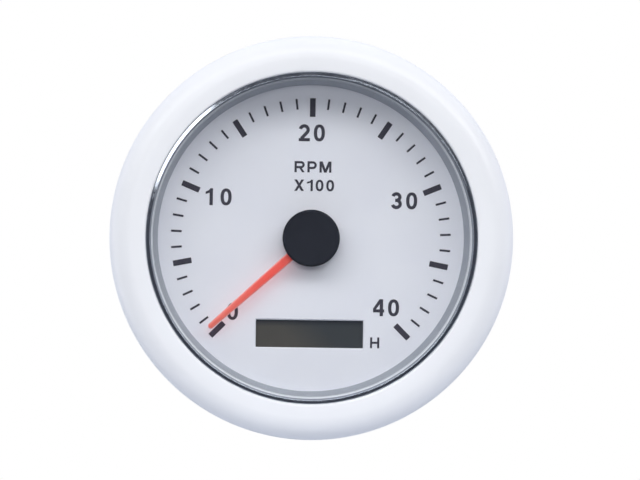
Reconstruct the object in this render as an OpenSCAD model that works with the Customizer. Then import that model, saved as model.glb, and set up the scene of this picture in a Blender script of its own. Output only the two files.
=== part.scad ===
// Marine engine tachometer for a round panel cut-out.
// The dial faces -Y with its 20 mark towards +Z, and +X is to the right of someone reading it.
// The origin is on the dial's axis, in the plane of the panel that the gauge is fitted to.

/* [Bezel and gasket] */
// How far the bezel reaches out beyond the barrel
bezel_over = 6.25; // [5.5:0.05:9]
// Height of the bezel from its rear rim to its crown
bezel_h = 7.7; // [7.4:0.1:9.5]
// Straight height of the bezel's outer edge
bezel_edge_h = 2.6; // [2:0.1:4]
// How far the crown lies in from the bezel's outer edge
crown_in = 5.2; // [4:0.1:6]
// Wall of the bezel's inner skirt
skirt_t = 1.6; // [1:0.1:2]
// Thickness of the bezel's lip over the trim ring
lip_t = 1.65; // [1:0.05:2]
// Radius on the edge of the lip
lip_round = 0.5; // [0.3:0.1:0.7]
// Thickness of the panel gasket
gasket_t = 1.5; // [1:0.1:3]

/* [Case] */
// Diameter of the barrel that passes through the panel
barrel_d = 83.5; // [82:0.1:84.5]
// Wall of the barrel
case_wall = 2; // [1.6:0.1:2.5]
// Depth of the case behind the panel
case_depth = 38; // [36:0.5:50]
// Thickness of the case's back
back_t = 2.5; // [2:0.1:4]
// Thickness of the case's front flange
flange_t = 2; // [1.8:0.1:3]
// How far the flange stands out from the barrel
flange_w = 3.45; // [3.2:0.05:4]

/* [Glass] */
// Thickness of the glass
lens_t = 2.5; // [2:0.1:3]
// How far the glass reaches out past the barrel's bore
lens_reach = 0.25; // [0.1:0.05:0.5]
// Thickness of the rubber seal behind the glass
seal_t = 0.8; // [0.6:0.1:1.2]
// Thickness of the seal's lip on the front of the glass
seal_lip_t = 0.35; // [0.25:0.05:0.5]
// How far the bezel's lip covers the edge of the glass
glass_cover = 0.6; // [0.3:0.1:0.8]
// Width of the polished ring inside the bezel's lip
bead_w = 1.05; // [0.8:0.05:1.3]
// Height of the polished ring above its foot
bead_h = 1.45; // [1:0.05:1.8]
// Slope of the polished ring's face, outwards and down
bead_slope = 9.6; // [6:0.2:14]
// Width of the seal that shows inside the polished ring
seal_show = 0.35; // [0.2:0.05:0.6]
// Width of the spacer ring's lip that shows inside the seal
spacer_show = 0.25; // [0.15:0.05:0.5]

/* [Dial] */
// Thickness of the dial plate
dial_t = 0.8; // [0.5:0.1:1.2]
// Width of the sloping ring round the dial
cone_w = 1.25; // [0.5:0.05:2.5]
// Distance from the edge of the visible dial in to the scale marks
scale_in = 3.1; // [1:0.1:5]
// Length of a long scale mark
major_len = 4.45; // [3:0.05:6]
// Width of a long scale mark
major_w = 1.35; // [0.8:0.05:2]
// Length of a short scale mark
minor_len = 2.55; // [1.5:0.05:4]
// Width of a short scale mark
minor_w = 0.5; // [0.3:0.05:0.8]
// Number of scale divisions from 0 to 40
divisions = 40; // [40:40:80]
// Angle of the whole scale
scale_angle = 270; // [240:5:280]
// Height of the numerals
numeral_h = 4.05; // [3:0.05:5]
// Width of one numeral
numeral_w = 2.65; // [2:0.05:3]
// Width of the numerals' strokes
numeral_stroke = 0.8; // [0.4:0.02:0.9]
// Width of the hour-meter window
window_w = 25.6; // [22:0.1:27]
// Height of the hour-meter window
window_h = 6.55; // [5:0.05:8]
// Distance from the lower edge of the visible dial up to the middle of the window
window_up = 13.65; // [13:0.05:15.5]

/* [Pointer] */
// How far the pointer's tip stops short of the scale marks' outer ends
tip_in = 1; // [0:0.1:4]
// Width of the pointer where it leaves the cap
pointer_root_w = 2.5; // [1.5:0.1:3]
// Width of the pointer at its tip
pointer_tip_w = 1.4; // [0.8:0.1:2]
// Thickness of the pointer
pointer_t = 0.8; // [0.6:0.1:1]
// Height of the pointer above the dial
pointer_lift = 2.4; // [2:0.1:4]
// Diameter of the pointer's cap
cap_d = 13.6; // [11:0.1:16]
// Height of the cap above the pointer
cap_over = 2.15; // [1.2:0.05:3]
// Gap between the cap and the glass
cap_gap = 0.6; // [0.3:0.1:2]
// Radius on the cap's front edge
cap_round = 0.6; // [0.2:0.1:1]
// Angle of the pointer at rest past the 0 mark
rest_angle = 3; // [0:0.1:10]

/* [Movement] */
// Diameter of the output shaft
shaft_d = 1.5; // [1:0.1:1.8]
// Tooth module of the gears
gear_m = 0.16; // [0.15:0.005:0.17]
// Thickness of a gear wheel
wheel_t = 0.8; // [0.6:0.05:1]
// Distance from the output shaft down to the rotor
rotor_drop = 15; // [14:0.1:16]
// Gap between the largest wheel and the motor's side
wheel_gap = 0.8; // [0.3:0.1:2]
// Diameter of a coil
coil_d = 3.75; // [3.4:0.05:4.5]
// Wall of the motor's housing
motor_wall = 1; // [0.8:0.1:1.2]
// Diameter of the rotor magnet
magnet_d = 6.4; // [5:0.1:6.8]

/* [Board and light] */
// Thickness of the circuit board
board_t = 1.6; // [1:0.1:2]
// Depth of the light box between board and light guide
box_h = 4.2; // [3.5:0.1:6]
// Wall of the light box
box_wall = 1.6; // [1:0.1:2]
// Thickness of the light guide
guide_t = 3; // [2:0.1:4]

/* [Back and fixing] */
// Diameter of the mounting studs
stud_d = 4; // [3.5:0.1:5]
// Pitch of the studs' thread
stud_pitch = 0.7; // [0.5:0.05:0.8]
// Distance between the studs
stud_gap = 48; // [44:0.5:50]
// Length of stud that stands out past the clamp nuts
stud_spare = 5.2; // [5.1:0.1:15]
// Gap between the panel plane and the bracket's feet
clamp_gap = 6; // [5.5:0.1:7]
// Gap between the case's back and the bracket
strap_gap = 12.5; // [10:0.5:20]
// Thickness of the bracket's metal
bracket_t = 1.5; // [1:0.1:2]
// Width of the bracket
bracket_w = 16; // [12:0.5:18]
// Gap between the bracket's legs and the barrel
leg_clear = 1; // [0.9:0.05:1.2]
// Length of the bracket's feet
foot_len = 2.6; // [2:0.05:2.8]
// Diameter of the clamp nuts
nut_d = 12; // [10:0.5:14]
// Height of the clamp nuts
nut_h = 6; // [4:0.5:6]
// Height of the blade terminals outside their block
blade_len = 9; // [7:0.5:10]
// Width of the blade terminals
blade_w = 6.3; // [4.8:0.1:6.5]
// Distance between blade terminals
blade_pitch = 7; // [6:0.1:7.5]
// Diameter of the calibration button
button_d = 6; // [4:0.1:6.4]
// Travel of the calibration button
button_travel = 0.6; // [0.3:0.1:0.6]

/* [Hidden] */
$fn = 96;

// Clearances: a running fit, a push fit and a loose fit, all on the radius
run = 0.05;
push = 0.02;
loose = 0.1;

// Radii from the axis outwards, taken from the barrel
barrel_r = barrel_d / 2;
bore_r = barrel_r - case_wall;
stack_r = bore_r - 0.35;
lens_r = bore_r + lens_reach;
seal_r = lens_r + 1.1;
seat_r = seal_r + 0.2;
opening_r = lens_r - glass_cover;
bead_r = opening_r - bead_w;
clear_r = bead_r - seal_show;
flange_r = barrel_r + flange_w;
bezel_r = barrel_r + bezel_over;
crown_r = bezel_r - crown_in;
skirt_r = seal_r + loose;
hollow_r = flange_r + 0.2;
snap_step = 0.8;
gasket_in_r = barrel_r + 1;
gasket_out_r = bezel_r - 0.8;
cone_r = clear_r - spacer_show;
dial_show_r = cone_r - cone_w;
tick_r = dial_show_r - scale_in;
pointer_r = tick_r - tip_in;
window_drop = dial_show_r - window_up;

// Heights towards the reader, from the panel plane
flange_z = gasket_t + flange_t;
seat_z = flange_z - seal_t;
lens_z0 = flange_z;
lens_z1 = lens_z0 + lens_t;
trim_z0 = lens_z1 + seal_lip_t;
trim_t = 0.65;
lip_z = trim_z0 + trim_t;
crown_z = gasket_t + bezel_h;
shoulder_z = gasket_t + bezel_edge_h;
lip_top_z = lip_z + lip_t + lip_round;
dial_z = lens_z0 - pointer_lift - pointer_t - cap_over - run - cap_gap;
guide_z = dial_z - dial_t;
box_z = guide_z - guide_t;
board_z = box_z - box_h;
rear_z = board_z - board_t;
floor_z = back_t - case_depth;
outside_z = -case_depth;
print_t = 0.05;

// Pointer heights
pointer_z = dial_z + pointer_lift;
pointer_top = pointer_z + pointer_t;
cap_under = pointer_top + run;
cap_top = pointer_top + cap_over + run;
cap_bottom = dial_z + 1.5;
cap_r = cap_d / 2;
cap_bore = cap_r - 1.2;
bush_r = shaft_d / 2 + 0.85;

// Movement: two stages of gears, 120:8 and 96:12 steps to one turn of the pointer
out_teeth = 120;
mid_teeth = 96;
pinion_teeth = 8;
mesh_out = gear_m * (out_teeth + pinion_teeth) / 2;
mesh_mid = gear_m * (mid_teeth + pinion_teeth) / 2;
shaft_r = shaft_d / 2;
pivot_r = 0.35;
arbor_r = 0.45;
backlash = 0.03;
mid_angle = acos((pow(mesh_out, 2) + pow(rotor_drop, 2) - pow(mesh_mid, 2)) / (2 * mesh_out * rotor_drop));
mid_x = -mesh_out * sin(mid_angle);
mid_y = -mesh_out * cos(mid_angle);
to_mid = -90 - mid_angle;
to_rotor = atan2(-rotor_drop - mid_y, -mid_x);
motor_in_z = rear_z - motor_wall;
out_wheel_z = motor_in_z - 0.4 - wheel_t;
mid_wheel_z = out_wheel_z - 0.6 - wheel_t;
motor_floor_z = mid_wheel_z - 0.65 - coil_d;
motor_back_z = motor_floor_z - motor_wall;
motor_split_z = (rear_z + motor_back_z) / 2;
magnet_z0 = motor_floor_z + 0.5;
magnet_z1 = mid_wheel_z - 0.7;
core_z = (magnet_z0 + magnet_z1) / 2;
core_t = 1;
core_r = magnet_d / 2 + 0.4;
core_out_r = core_r + 2;
wheel_add = 0.45;
out_tip_r = gear_m * (out_teeth / 2 + wheel_add);
mid_tip_r = gear_m * (mid_teeth / 2 + wheel_add);
motor_x = mid_tip_r - mid_x + wheel_gap + motor_wall;
motor_top = out_tip_r + wheel_gap / 2 + motor_wall;
motor_bottom = rotor_drop + core_out_r + 2.4 + motor_wall;
coil_r = coil_d / 2;
coil_x = motor_x - motor_wall - coil_r - 0.7;
coil_y0 = -rotor_drop + 1.6;
coil_y1 = 1;
leg_w = 1.6;
pin_r = 0.3;
pin_x = motor_x - motor_wall - 0.75;
collar_r = shaft_r + 1.5;
collar_top = board_z + 1.4;

// Display behind the window
lcd_w = window_w + 3.4;
lcd_h = window_h + 3.45;
lcd_t = 1.1;
lcd_z = guide_z - run;

// Places on the board and the back, as x and y on the dial
boss_ring = stack_r - 5.4;
boss_x = boss_ring * cos(30);
boss_y = boss_ring * sin(30);
boss_spots = [[boss_x, boss_y], [-boss_x, boss_y], [-boss_x, -boss_y], [boss_x, -boss_y]];
side_x = boss_x - 5.4;
boss_r = 3;
screw_r = 1.2;
screw_head_r = 2.4;
screw_head_t = 1.6;
screw_len = 7;
led_r = stack_r - box_wall - 3.8;
led_angles = [0, 60, 120, 180, 240, 300];
led_w = 3.5;
led_h = 2.8;
led_t = 1.9;
chip_spot = [side_x, 11 - boss_y];
chip_w = 10;
chip_t = 1.4;
regulator_spot = [side_x, boss_y - 8];
regulator_w = 10;
regulator_h = 6.6;
regulator_t = 4.5;
crystal_spot = [0, motor_top + 4.5];
crystal_w = 11;
crystal_h = 3.8;
crystal_t = 3.5;
capacitor_spots = [[-side_x, boss_y - 9], [-side_x, boss_y - 20]];
capacitor_r = 4;
capacitor_h = 10;
button_spot = [-19, -22];
vent_spot = [19, -22];
vent_r = 3;
terminal_y = 22;
blade_xs = [for (i = [-1.5:1:1.5]) i * blade_pitch];
blade_t = 0.8;
block_w = 3 * blade_pitch + 6.8;
block_h = blade_w + 3.5;
block_flange = 1.4;
block_flange_t = 1.6;
block_depth = 8;
tail_w = 1.2;
tail_hole_r = 0.85;

// Switch and button
switch_w = 6;
switch_h = 3.5;
plunger_r = 1.75;
plunger_z = rear_z - switch_h - 1.2;
button_r = button_d / 2;
button_out = 0.6;
guard_h = 1.6;
guard_r = button_r + 2;

// Studs, bracket and nuts
stud_r = stud_d / 2;
thread_depth = 0.61 * stud_pitch;
stud_x = stud_gap / 2;
stud_head_r = stud_r + 2.5;
stud_head_t = 2;
collar_h = 1.5;
foot_z = -clamp_gap;
strap_z = outside_z - strap_gap - bracket_t;
leg_x = barrel_r + leg_clear + bracket_t / 2;
bend_r = bracket_t;
washer_t = 0.8;
washer_z = strap_z - washer_t;
nut_z = washer_z - nut_h;
nut_r = nut_d / 2;
stud_end_z = nut_z - stud_spare;

// Numerals: what each says, how far its middle lies in from the long marks, and its angle
numerals = [["0", 3.36, 223.9], ["10", 4.83, 156.7], ["20", 3.81, 90.3], ["30", 4.95, 22.7], ["40", 4.49, -41.9]];
numeral_gap = 0.92;
// Words: what each says, its left end, its middle's height, its letters' height and stroke
words = [["RPM", -4.15, 17.02, 2.66, 0.54], ["X100", -4.15, 12.6, 2.72, 0.54]];
word_w_share = 0.86;
word_gap = 0.66;
hour_mark_x = window_w / 2 + 2.8;
hour_mark_y = -window_drop - 1.89;
hour_mark_w = 2.2;
hour_mark_h = 2.6;
hour_mark_stroke = 0.5;

// Turns the dial's own frame, with z towards the reader, to stand facing -Y
module facing() rotate([90, 0, 0]) children();

// A turned piece from its outline of radius and height
module turned(outline) facing() rotate_extrude() polygon(outline);

// Points on an arc or part of an ellipse
function arc(cx, cy, rx, ry, a0, a1, n = 16) =
    [for (i = [0:n]) let (a = a0 + (a1 - a0) * i / n) [cx + rx * cos(a), cy + ry * sin(a)]];

// Points of a rectangle with round corners
function rounded(w, h, r, n = 6) = concat(
    arc(w / 2 - r, h / 2 - r, r, r, 0, 90, n),
    arc(r - w / 2, h / 2 - r, r, r, 90, 180, n),
    arc(r - w / 2, r - h / 2, r, r, 180, 270, n),
    arc(w / 2 - r, r - h / 2, r, r, 270, 360, n));

// Unit normal to the left of a path at point i
function path_normal(p, i) =
    let (a = p[max(i - 1, 0)], b = p[min(i + 1, len(p) - 1)], d = b - a) [-d[1], d[0]] / norm(d);

// A band of even width along a path
module ribbon(p, w) polygon(concat(
    [for (i = [0:len(p) - 1]) p[i] + path_normal(p, i) * w / 2],
    [for (i = [len(p) - 1:-1:0]) p[i] - path_normal(p, i) * w / 2]));

// A cylinder between two heights, at a place on the dial
module post(r, z0, z1, at = [0, 0]) translate([at[0], at[1], z0]) cylinder(r = r, h = z1 - z0);

// A box between two heights, centred on a place on the dial
module block(w, h, z0, z1, at = [0, 0])
    translate([at[0], at[1], (z0 + z1) / 2]) cube([w, h, z1 - z0], center = true);

// A gear wheel's outline: involute teeth, with one tooth centred at the angle phase
function involute(r, rb) = r > rb ? tan(acos(rb / r)) * 180 / PI - acos(rb / r) : 0;
function gear_outline(teeth, add, ded, phase, flank) =
    let (
        rp = gear_m * teeth / 2,
        rb = rp * cos(20),
        low = rp - ded * gear_m,
        high = rp + add * gear_m,
        half = 90 / teeth - backlash / 2 / rp * 180 / PI + involute(rp, rb),
        radii = [for (i = [0:flank - 1]) low + (high - low) * i / (flank - 1)]
    )
    [for (k = [0:teeth - 1]) each concat(
        [for (i = [0:len(radii) - 1]) let (a = phase + 360 * k / teeth - half + involute(radii[i], rb))
            radii[i] * [cos(a), sin(a)]],
        [for (i = [len(radii) - 1:-1:0]) let (a = phase + 360 * k / teeth + half - involute(radii[i], rb))
            radii[i] * [cos(a), sin(a)]])];
module wheel(teeth, z0, phase) translate([0, 0, z0])
    linear_extrude(wheel_t) polygon(gear_outline(teeth, wheel_add, 1.5, phase, 2));
module pinion(z0, z1, phase) translate([0, 0, z0])
    linear_extrude(z1 - z0) polygon(gear_outline(pinion_teeth, 0.95, 0.9, phase, 4));

// The bezel: a moulded ring with a domed front that clips over the case's flange
module bezel() {
    slope = arc(crown_r, shoulder_z, crown_in, crown_z - shoulder_z, 90, 0, 28);
    inner_r = opening_r + lip_round;
    crest = [for (i = [0:12]) let (t = i / 12) [inner_r + (crown_r - inner_r) * t,
        crown_z - (crown_z - lip_top_z) * pow(1 - t, 2)]];
    edge = arc(inner_r, lip_top_z - lip_round, lip_round, lip_round, 180, 90, 8);
    color("white") turned(concat(
        [[opening_r, lip_z]], edge, crest, slope,
        [[bezel_r, gasket_t + 0.4], [bezel_r - 0.4, gasket_t],
        [hollow_r - snap_step, gasket_t], [hollow_r - snap_step, gasket_t + flange_t / 2 - loose],
        [hollow_r, gasket_t + flange_t / 2 - loose], [hollow_r, lip_z - loose],
        [skirt_r + skirt_t, lip_z - loose], [skirt_r + skirt_t, flange_z],
        [skirt_r, flange_z], [skirt_r, lip_z]]));
}

// The trim ring: its foot lies on the seal's lip under the bezel, and its polished face stands inside the lip
module trim_ring() {
    top = lip_z + bead_h;
    out = opening_r - loose;
    ease = 0.08;
    fall = (out - bead_r - 2 * ease) * tan(bead_slope);
    inner = arc(bead_r + ease, top - ease, ease, ease, 180, 90 - bead_slope, 4);
    outer = arc(out - ease, top - fall - ease, ease, ease, 90 - bead_slope, 0, 4);
    color("gainsboro") turned(concat(
        [[bead_r, trim_z0]], inner, outer, [[out, lip_z], [seal_r, lip_z], [seal_r, trim_z0]]));
}

// The glass: a flat disc with its edges eased
module lens() {
    ease = 0.3;
    color("lightcyan", 0.3) turned([[0, lens_z0], [lens_r - ease, lens_z0], [lens_r, lens_z0 + ease],
        [lens_r, lens_z1 - ease], [lens_r - ease, lens_z1], [0, lens_z1]]);
}

// The seal: a rubber channel round the edge of the glass
module lens_seal() {
    back_r = bore_r - 1.15;
    color("black") turned([[back_r, seat_z], [seal_r, seat_z], [seal_r, trim_z0], [clear_r, trim_z0],
        [clear_r, lens_z1], [lens_r + loose, lens_z1], [lens_r + loose, lens_z0], [back_r, lens_z0]]);
}

// The spacer ring: a cone that presses on the dial, and whose top lip shows as a thin bright line
module spacer_ring() {
    back_r = bore_r - 1.15 - loose;
    color("lightgray") turned([[dial_show_r, dial_z], [bore_r - 0.15, dial_z], [bore_r - 0.15, seat_z - run],
        [back_r, seat_z - run], [back_r, lens_z0 - loose], [cone_r, lens_z0 - loose]]);
}

// The dial: a white plate with a hole for the pointer's shaft and the hour-meter window
module dial() {
    color("whitesmoke") facing() difference() {
        post(stack_r, guide_z, dial_z);
        post(collar_r + 0.35, guide_z - 1, dial_z + 1);
        block(window_w, window_h, guide_z - 1, dial_z + 1, [0, -window_drop]);
    }
}

// The scale: one mark for each division, and a long one at each fifth
module dial_ticks() {
    step = scale_angle / divisions;
    color("dimgray") facing() for (i = [0:divisions])
        let (long = i % 5 == 0, len = long ? major_len : minor_len, w = long ? major_w : minor_w)
        rotate([0, 0, 90 + scale_angle / 2 - i * step]) translate([tick_r - len, -w / 2, dial_z])
            cube([len, w, print_t]);
}

// An oval with slightly squared shoulders, as a numeral 0 has
function oval(cx, cy, a, b, n = 40) = [for (i = [0:n - 1]) let (t = 360 * i / n, c = cos(t), s = sin(t))
    [cx + a * sign(c) * pow(abs(c), 0.87), cy + b * sign(s) * pow(abs(s), 0.87)]];

// One numeral or letter, w wide and h high, drawn with strokes s wide
module glyph(c, w, h, s) {
    mid = h * 0.52;
    if (c == "0") difference() {
        polygon(oval(w / 2, h / 2, w / 2, h / 2));
        polygon(oval(w / 2, h / 2, w / 2 - s, h / 2 - s * 0.92));
    }
    if (c == "1") polygon([[w * 0.66 - s, 0], [w * 0.66, 0], [w * 0.66, h], [w * 0.66 - s * 0.75, h],
        [w * 0.66 - s * 1.25, h * 0.88], [0, h * 0.8], [0, h * 0.65], [w * 0.66 - s, h * 0.73]]);
    if (c == "2") {
        r = (w - s) / 2;
        ribbon(concat(arc(w / 2 - s * 0.05, h - s / 2 - r, r, r, 168, -38, 18), [[s * 0.75, s * 0.8]]), s);
        square([w, s * 0.92]);
    }
    if (c == "3") {
        ribbon(concat(arc(w * 0.47, (h - s / 2 + mid) / 2, (w - s) * 0.45, (h - s / 2 - mid) / 2, 165, -90, 20),
            [[w * 0.36, mid]]), s);
        ribbon(concat([[w * 0.36, mid]],
            arc(w * 0.47, (mid + s / 2) / 2, (w - s) / 2, (mid - s / 2) / 2, 90, -165, 20)), s);
    }
    if (c == "4") {
        stem = w * 0.6;
        bar = h * 0.22;
        difference() {
            polygon([[0, bar], [stem, bar], [stem, 0], [stem + s, 0], [stem + s, h], [stem - s * 0.1, h],
                [0, bar + s * 1.1]]);
            polygon([[s * 0.85, bar + s * 0.9], [stem, bar + s * 0.9], [stem, h - s * 1.5]]);
        }
        translate([stem + s, bar]) square([w - stem - s, s * 0.9]);
    }
    if (c == "R" || c == "P") {
        fold = c == "R" ? h * 0.46 : h * 0.4;
        ry = (h - s / 2 - fold) / 2;
        square([s, h]);
        ribbon(concat([[s / 2, h - s / 2]], arc(w - s / 2 - ry, fold + ry, ry, ry, 90, -90, 14), [[s / 2, fold]]), s);
        if (c == "R") polygon([[w * 0.42, fold], [w * 0.42 + s * 1.1, fold], [w, 0], [w - s * 1.15, 0]]);
    }
    if (c == "M") {
        square([s, h]);
        translate([w - s, 0]) square([s, h]);
        polygon([[0, h], [s * 1.35, h], [w / 2, s * 1.6], [w - s * 1.35, h], [w, h], [w / 2 + s * 0.5, 0],
            [w / 2 - s * 0.5, 0]]);
    }
    if (c == "X") {
        polygon([[0, 0], [s * 1.2, 0], [w, h], [w - s * 1.2, h]]);
        polygon([[w, 0], [w - s * 1.2, 0], [0, h], [s * 1.2, h]]);
    }
    if (c == "H") {
        square([s, h]);
        translate([w - s, 0]) square([s, h]);
        translate([0, (h - s) / 2]) square([w, s]);
    }
}

// How wide a letter is, as a share of a numeral's width
function letter_share(c) = c == "M" ? 1.24 : c == "X" ? 1 : c == "R" ? 1.06 : c == "P" ? 0.97
    : c == "1" ? 0.62 : 0.8;
function word_x(word, n, unit) = n == 0 ? 0
    : word_x(word, n - 1, unit) + letter_share(word[n - 1]) * unit + word_gap;

// The numerals, each pair centred on its own place
module dial_numerals() {
    color("dimgray") facing() for (n = numerals)
        let (wide = len(n[0]) * numeral_w + (len(n[0]) - 1) * numeral_gap, r = tick_r - major_len - n[1])
        translate([r * cos(n[2]) - wide / 2, r * sin(n[2]) - numeral_h / 2, dial_z]) linear_extrude(print_t)
            for (i = [0:len(n[0]) - 1])
                translate([i * (numeral_w + numeral_gap), 0])
                    glyph(n[0][i], numeral_w, numeral_h, numeral_stroke);
}

// The units: revolutions a minute, times a hundred, and the H beside the hour meter
module dial_lettering() {
    color("dimgray") facing() {
        for (w = words) let (unit = w[3] * word_w_share)
            translate([w[1], w[2] - w[3] / 2, dial_z]) linear_extrude(print_t)
                for (i = [0:len(w[0]) - 1])
                    translate([word_x(w[0], i, unit), 0])
                        glyph(w[0][i], letter_share(w[0][i]) * unit * (w[0][i] == "1" ? 1.5 : 1), w[3], w[4]);
        translate([hour_mark_x - hour_mark_w / 2, hour_mark_y - hour_mark_h / 2, dial_z]) linear_extrude(print_t)
            glyph("H", hour_mark_w, hour_mark_h, hour_mark_stroke);
    }
}

// The angle at which the pointer stands, counted from the dial's right
pointer_angle = 90 + scale_angle / 2 - rest_angle;

// The pointer: a thin blade with a round hub that the cap covers
module pointer() {
    tip_r = pointer_tip_w / 2;
    blade = concat([[0, -pointer_root_w / 2]], arc(pointer_r - tip_r, 0, tip_r, tip_r, -80, 80, 10),
        [[0, pointer_root_w / 2]]);
    color("tomato") facing() rotate([0, 0, pointer_angle]) difference() {
        translate([0, 0, pointer_z]) linear_extrude(pointer_t) {
            circle(r = cap_bore - 0.2);
            polygon(blade);
        }
        post(bush_r + push, pointer_z - 1, pointer_top + 1);
    }
}

// The bush: grips the shaft and carries the pointer
module pointer_bush() {
    color("ivory") facing() difference() {
        post(bush_r, dial_z + 0.9, pointer_top);
        post(shaft_r + push, dial_z, pointer_top + 1);
    }
}

// The cap: a shallow cup over the pointer's hub, notched where the blade comes out
module hub_cap() {
    color("#2a2c36") facing() difference() {
        rotate_extrude() polygon(concat([[0, cap_under], [cap_bore, cap_under], [cap_bore, cap_bottom],
            [cap_r, cap_bottom]], arc(cap_r - cap_round, cap_top - cap_round, cap_round, cap_round, 0, 90, 8),
            [[0, cap_top]]));
        rotate([0, 0, pointer_angle]) translate([cap_r, 0, (cap_bottom + cap_under) / 2])
            cube([4, pointer_root_w + 0.3, cap_under - cap_bottom + run], center = true);
    }
}

// The output shaft: steel, from the back of the motor to the pointer
module output_shaft() color("silver") facing() post(shaft_r, motor_floor_z + 0.4, pointer_top - 0.2);

// The output wheel, on the shaft
module output_gear() {
    color("white") facing() difference() {
        union() {
            wheel(out_teeth, out_wheel_z, to_mid);
            post(shaft_r + 1.2, out_wheel_z - 0.4, motor_in_z - 0.1);
        }
        post(shaft_r + push, out_wheel_z - 1, motor_in_z + 1);
    }
}

// The intermediate wheel, driven by the rotor's pinion
module intermediate_gear() {
    color("white") facing() translate([mid_x, mid_y, 0]) difference() {
        wheel(mid_teeth, mid_wheel_z, to_rotor);
        post(arbor_r + push, mid_wheel_z - 1, mid_wheel_z + wheel_t + 1);
    }
}

// The intermediate arbor, with the pinion that drives the output wheel
module intermediate_pinion() {
    color("white") facing() translate([mid_x, mid_y, 0]) {
        pinion(mid_wheel_z + wheel_t, motor_in_z - 0.2, to_mid + 180 + 180 / pinion_teeth);
        post(pivot_r, mid_wheel_z - 1.3, motor_in_z + motor_wall * 0.5);
        post(arbor_r, mid_wheel_z - 0.4, mid_wheel_z + wheel_t + 0.1);
        post(2 * pivot_r, mid_wheel_z - 0.4, mid_wheel_z);
    }
}

// The rotor's arbor and pinion
module rotor_pinion() {
    color("white") facing() translate([0, -rotor_drop, 0]) {
        pinion(mid_wheel_z - 0.3, mid_wheel_z + wheel_t + 0.2, to_rotor + 180 + 180 / pinion_teeth);
        post(pivot_r * 2, magnet_z0, mid_wheel_z);
        post(pivot_r, motor_floor_z - motor_wall * 0.5, motor_in_z + motor_wall * 0.5);
    }
}

// The rotor's magnet
module rotor_magnet() {
    color("dimgray") facing() translate([0, -rotor_drop, 0]) difference() {
        post(magnet_d / 2, magnet_z0, magnet_z1);
        post(pivot_r * 2 + push, magnet_z0 - 1, magnet_z1 + 1);
    }
}

// The outline of the motor's housing, shrunk by a wall
module motor_outline(shrink) {
    tall = motor_top + motor_bottom;
    translate([0, (motor_top - motor_bottom) / 2])
        polygon(rounded(2 * (motor_x - shrink), tall - 2 * shrink, 3 - shrink));
}

// The motor's front half, with the bearing that reaches through the board
module motor_front_shell() {
    color("whitesmoke") facing() difference() {
        union() {
            difference() {
                translate([0, 0, motor_split_z]) linear_extrude(rear_z - motor_split_z) motor_outline(0);
                translate([0, 0, motor_split_z - 1]) linear_extrude(motor_in_z - motor_split_z + 1)
                    motor_outline(motor_wall);
            }
            post(collar_r, motor_in_z, collar_top);
        }
        post(shaft_r + run, motor_in_z - 1, collar_top + 1);
        post(pivot_r + run, motor_in_z - 1, motor_in_z + motor_wall * 0.6, [mid_x, mid_y]);
        post(pivot_r + run, motor_in_z - 1, motor_in_z + motor_wall * 0.6, [0, -rotor_drop]);
        for (x = [-pin_x, pin_x], y = [coil_y0, coil_y1]) post(pin_r + loose, motor_in_z - 1, rear_z + 1, [x, y]);
    }
}

// The motor's rear half, with a bearing boss for each arbor
module motor_rear_shell() {
    color("whitesmoke") facing() difference() {
        union() {
            difference() {
                translate([0, 0, motor_back_z]) linear_extrude(motor_split_z - motor_back_z) motor_outline(0);
                translate([0, 0, motor_floor_z]) linear_extrude(motor_split_z - motor_floor_z + 1)
                    motor_outline(motor_wall);
            }
            post(shaft_r + 1.05, motor_back_z + 0.5, motor_floor_z + 2.8);
            post(pivot_r + 0.85, motor_back_z + 0.5, mid_wheel_z - 0.5, [mid_x, mid_y]);
        }
        post(shaft_r + run, motor_floor_z + 0.3, motor_floor_z + 4);
        post(pivot_r + run, mid_wheel_z - 1.5, mid_wheel_z, [mid_x, mid_y]);
        post(pivot_r + run, motor_floor_z - motor_wall * 0.6, motor_floor_z + 1, [0, -rotor_drop]);
    }
}

// The stator: one stack of laminations round the rotor, with a leg through each coil
module stator_core() {
    bridge_y = coil_y1 + 4.2;
    color("slategray") facing() translate([0, 0, core_z - core_t / 2]) linear_extrude(core_t) {
        difference() {
            translate([0, -rotor_drop]) circle(r = core_out_r);
            translate([0, -rotor_drop]) circle(r = core_r);
        }
        for (side = [-1, 1]) {
            translate([side * (coil_x + core_r + 1) / 2, -rotor_drop])
                square([coil_x - core_r - 1 + leg_w, leg_w], center = true);
            translate([side * coil_x, (bridge_y - rotor_drop) / 2])
                square([leg_w, bridge_y + rotor_drop + leg_w], center = true);
        }
        translate([0, bridge_y]) square([2 * coil_x + leg_w, leg_w], center = true);
    }
}

// Two bobbins, each with two ends that hold a pin
module coil_bobbins() {
    end_t = 0.6;
    color("ivory") facing() for (side = [-1, 1]) difference() {
        union() {
            translate([side * coil_x, coil_y0, core_z]) rotate([-90, 0, 0])
                cylinder(r = coil_r - 0.65, h = coil_y1 - coil_y0);
            for (y = [coil_y0, coil_y1])
                translate([side * (coil_x + 0.3), y, core_z])
                    cube([2 * coil_r + 0.6, end_t, 2 * coil_r], center = true);
        }
        translate([side * coil_x, (coil_y0 + coil_y1) / 2, core_z])
            cube([leg_w + run, coil_y1 - coil_y0 + 4, core_t + run], center = true);
        for (y = [coil_y0, coil_y1]) post(pin_r + push, core_z + 0.6, core_z + 4, [side * pin_x, y]);
    }
}

// The enamelled wire on each bobbin
module coil_windings() {
    gap = 0.35;
    color("peru") facing() for (side = [-1, 1])
        translate([side * coil_x, coil_y0 + gap, core_z]) rotate([-90, 0, 0]) difference() {
            cylinder(r = coil_r, h = coil_y1 - coil_y0 - 2 * gap);
            translate([0, 0, -1]) cylinder(r = coil_r - 0.65 + push, h = coil_y1 - coil_y0 + 2);
        }
}

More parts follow.
